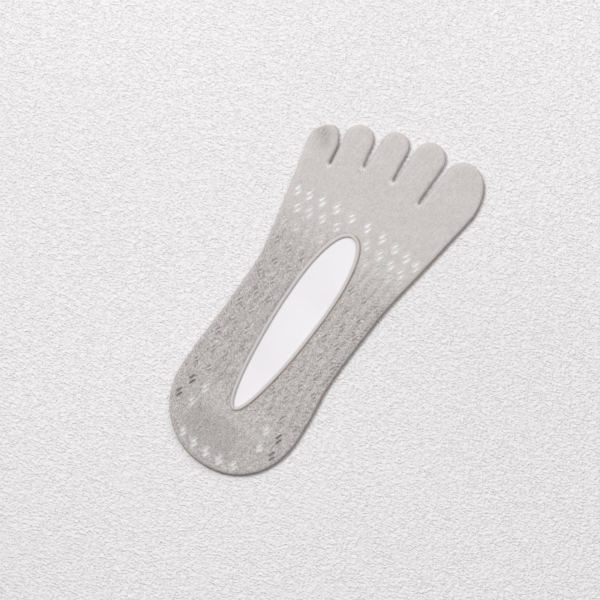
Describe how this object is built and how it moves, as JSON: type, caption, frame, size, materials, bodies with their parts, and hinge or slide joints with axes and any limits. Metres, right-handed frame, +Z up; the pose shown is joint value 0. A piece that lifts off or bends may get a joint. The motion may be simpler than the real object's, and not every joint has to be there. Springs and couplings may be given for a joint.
{
  "type": "toe sock on a foot-shaped card",
  "caption": "Low-cut knitted toe sock for the left foot, lying flat on its foot-shaped card, with an edged oval mouth, open eyelets and a grip pad inside the heel.",
  "frame": {"origin": "under the middle of the sock's box, on the surface that it lies on", "axes": "+Z up through the flat sock, +Y towards the toes, +X towards the big toe"},
  "size_m": [0.0998, 0.22, 0.0052],
  "materials": {
    "knit": "fine plain-knit grey cotton blend, matt",
    "edging": "paler elastic edging, matt",
    "grip": "soft translucent grip pad, satin",
    "card": "smooth white board, matt"
  },
  "bodies": {
    "root": {"sock_knit": "knit", "mouth_band": "edging", "heel_grip": "grip", "foot_card": "card"}
  },
  "joints": []
}
